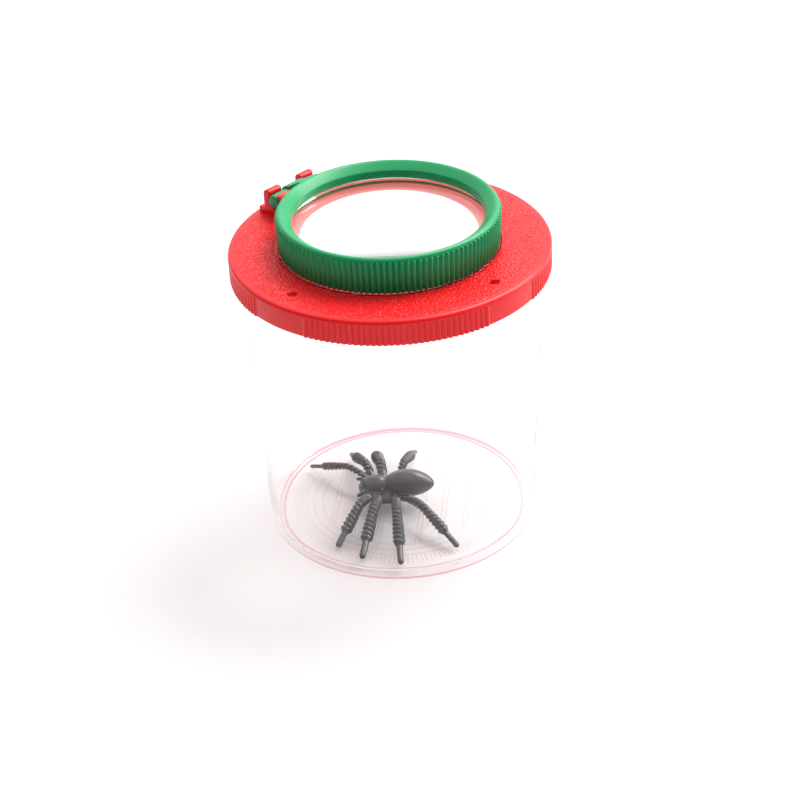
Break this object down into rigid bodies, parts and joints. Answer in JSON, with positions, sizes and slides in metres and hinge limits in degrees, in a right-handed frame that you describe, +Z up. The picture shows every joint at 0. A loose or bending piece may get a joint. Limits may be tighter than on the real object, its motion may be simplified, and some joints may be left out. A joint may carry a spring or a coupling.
{
  "type": "bug viewer jar",
  "caption": "Clear tapered specimen jar with a push-on lid that holds a lens, a flip-up magnifier in a ribbed ring on a snap hinge, and a loose toy spider inside.",
  "frame": {"origin": "middle of the jar's underside, on the surface that it stands on", "axes": "+Z up along the jar's axis, +Y towards the magnifier's hinge, +X along the hinge rod"},
  "size_m": [0.07, 0.07, 0.0765],
  "materials": {
    "clear_jar": "clear moulded polystyrene",
    "clear_lens": "clear moulded acrylic, polished",
    "red_lid": "red moulded plastic, leather grain on the top",
    "green_ring": "green moulded plastic",
    "black_rubber": "soft dark grey toy rubber"
  },
  "bodies": {
    "jar": {"jar_cup": "clear_jar"},
    "lid": {"lid": "red_lid", "lid_lens": "clear_lens"},
    "magnifier": {"flip_ring": "green_ring", "flip_lens": "clear_lens"},
    "spider": {"toy_spider": "black_rubber"}
  },
  "joints": [
    {"name": "lid_lift", "type": "slide", "parent": "jar", "child": "lid", "axis": [0, 0, 1], "range_m": [0, 0.06]},
    {"name": "magnifier_flip", "type": "hinge", "parent": "lid", "child": "magnifier", "pos_m": [0, 0.02795, 0.0718], "axis": [-1, 0, 0], "range_deg": [0, 150]},
    {"name": "spider_lift", "type": "slide", "parent": "jar", "child": "spider", "axis": [0, 0, 1], "range_m": [0, 0.05]}
  ]
}
